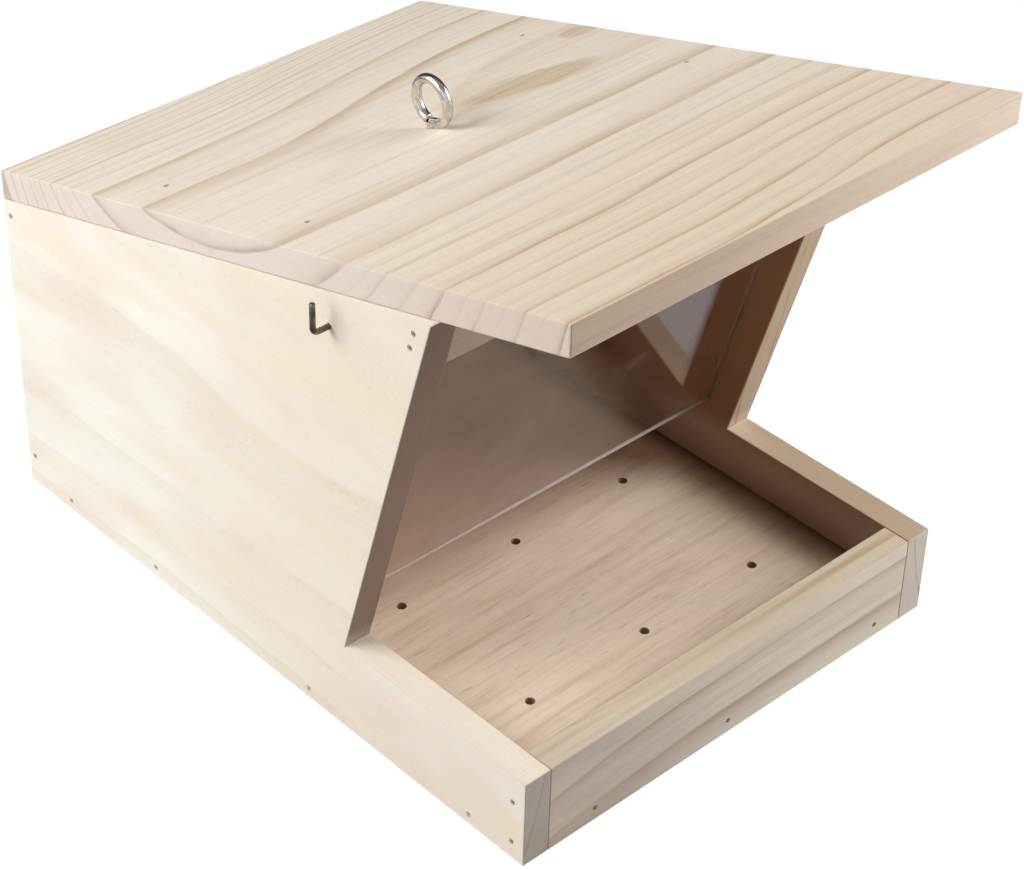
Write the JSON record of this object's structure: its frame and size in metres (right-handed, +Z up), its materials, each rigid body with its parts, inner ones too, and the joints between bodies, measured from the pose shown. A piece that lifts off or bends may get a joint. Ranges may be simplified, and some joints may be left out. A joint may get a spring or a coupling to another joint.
{
  "type": "silo bird feeder",
  "caption": "Silo bird feeder: a pine box with a slanted clear window that lets seed down into an open tray, under a lift-off sloping roof with a screw eye for hanging.",
  "frame": {"origin": "middle of the outline, on the surface that the feeder stands on", "axes": "+Z up, the tray faces -Y and the back board faces +Y, X runs from side to side"},
  "size_m": [0.17, 0.229, 0.1752],
  "materials": {
    "side_wood": "bare planed pine",
    "roof_wood": "bare planed pine",
    "front_wood": "bare planed pine",
    "floor_wood": "bare planed pine",
    "clear_acrylic": "clear, polished",
    "nickel": "bright nickel plate",
    "zinc_wire": "dull zinc plate",
    "brad_steel": "dull"
  },
  "bodies": {
    "housing": {"side_left": "side_wood", "side_right": "side_wood", "front_board": "front_wood", "floor_board": "floor_wood", "back_board": "side_wood", "top_rail": "front_wood", "corner_brads": "brad_steel", "floor_side_brads": "brad_steel", "floor_front_brads": "brad_steel", "back_brads": "brad_steel", "rail_brads": "brad_steel"},
    "window": {"window_pane": "clear_acrylic"},
    "roof": {"roof_board": "roof_wood", "cleat_left": "front_wood", "cleat_right": "front_wood", "screw_eye": "nickel", "roof_brads": "brad_steel"},
    "hook_left": {"hook_left": "zinc_wire"},
    "hook_right": {"hook_right": "zinc_wire"}
  },
  "joints": [
    {"name": "roof_lift", "type": "slide", "parent": "housing", "child": "roof", "axis": [0, 0, 1], "range_m": [0, 0.06]},
    {"name": "window_slide", "type": "slide", "parent": "housing", "child": "window", "axis": [0, -0.2672, 0.9636], "range_m": [0, 0.002]},
    {"name": "hook_left_screw", "type": "slide", "parent": "housing", "child": "hook_left", "axis": [-1, 0, 0], "range_m": [-0.003, 0.008]},
    {"name": "hook_right_screw", "type": "slide", "parent": "housing", "child": "hook_right", "axis": [1, 0, 0], "range_m": [-0.003, 0.008]}
  ]
}
